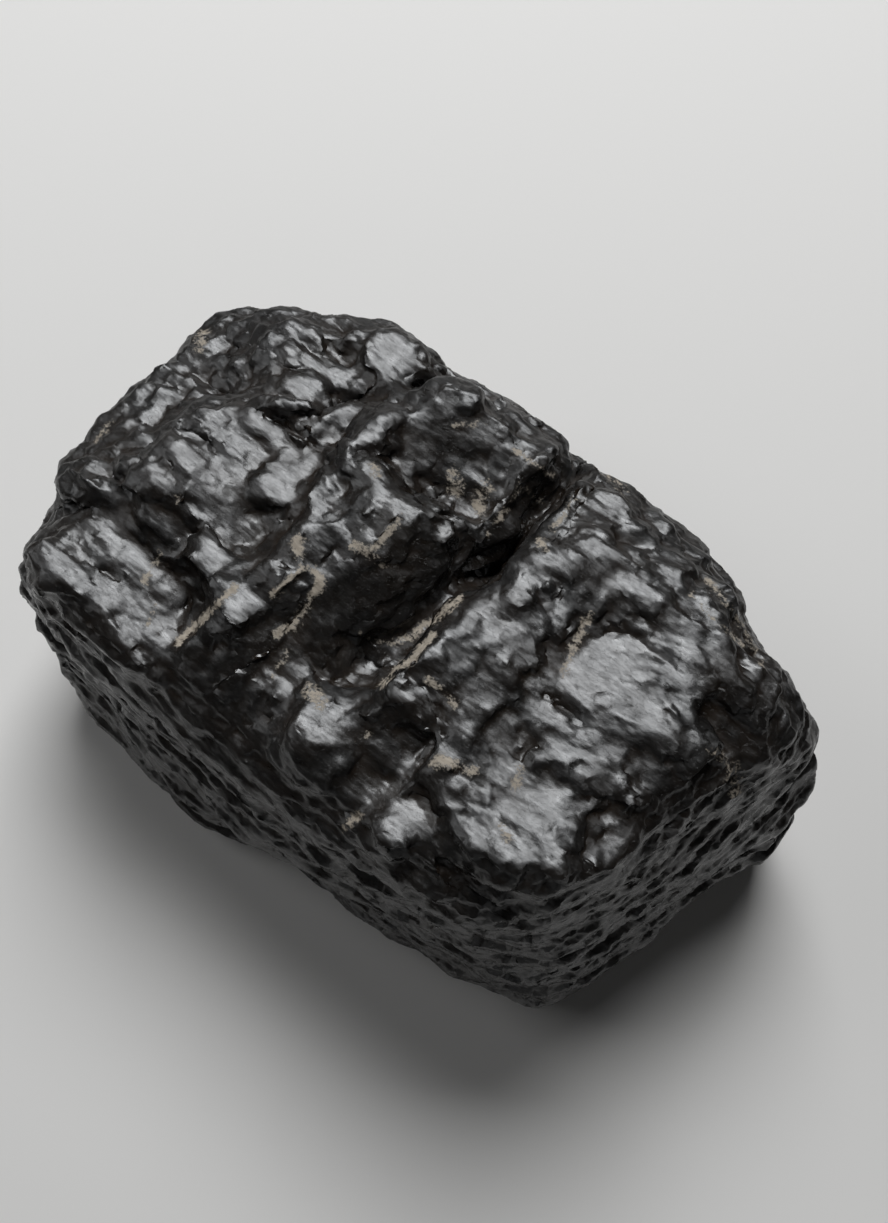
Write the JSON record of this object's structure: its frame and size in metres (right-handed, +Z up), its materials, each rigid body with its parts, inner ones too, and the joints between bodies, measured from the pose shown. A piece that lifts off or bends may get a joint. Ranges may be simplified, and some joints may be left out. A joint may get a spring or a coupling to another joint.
{
  "type": "bituminous coal specimen",
  "caption": "Blocky hand specimen of black bituminous coal with bedding layers, stepped cleat faces and pale mineral films, resting on a flat break",
  "frame": {"origin": "centre of the lump's bounding box on the surface it rests on", "axes": "+X along the lump from its blunt end to its pointed end, +Y across it to the far side, +Z up"},
  "size_m": [0.09, 0.059, 0.04],
  "materials": {
    "coal": "broken, banded dull and glossy black with sparse pale tan mineral films in the cracks"
  },
  "bodies": {
    "root": {"coal_lump": "coal"}
  },
  "joints": []
}
